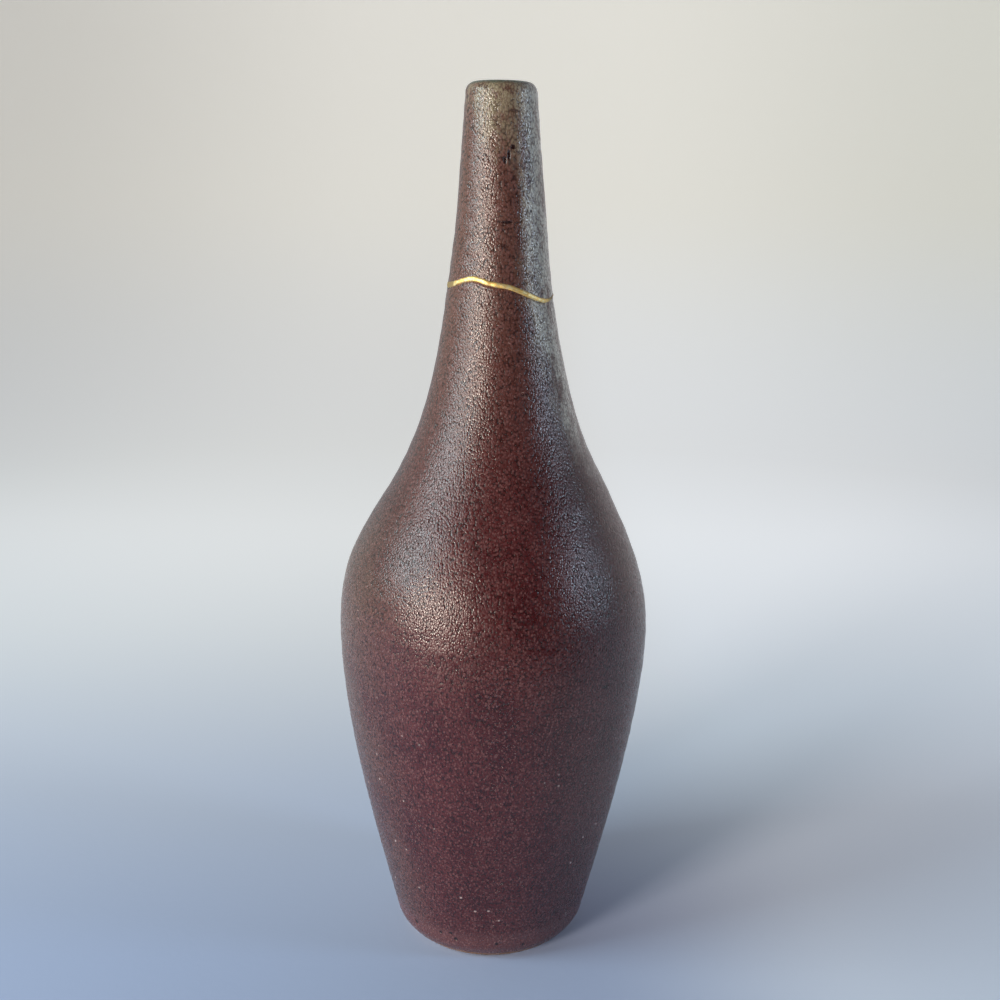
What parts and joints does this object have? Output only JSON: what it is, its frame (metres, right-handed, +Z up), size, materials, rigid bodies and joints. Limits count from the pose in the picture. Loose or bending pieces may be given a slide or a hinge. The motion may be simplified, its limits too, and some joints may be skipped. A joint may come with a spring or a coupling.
{
  "type": "kintsugi bottle vase",
  "caption": "Tall hollow stoneware bottle vase with a narrow neck; the snapped neck is joined by a raised gold seam. Stands on its foot and holds a stem or stands empty.",
  "frame": {"origin": "middle of the foot, on the surface that the vase stands on", "axes": "+Z up along the vase's axis, -Y the front that the picture shows, +X the viewer's right"},
  "size_m": [0.12, 0.12, 0.33],
  "materials": {
    "glaze": "satin plum-brown reduction glaze with a fine light speckle",
    "gold": "burnished gold powder on lacquer"
  },
  "bodies": {
    "root": {"vase_body": "glaze", "neck_fragment": "glaze", "gold_seam": "gold"}
  },
  "joints": []
}
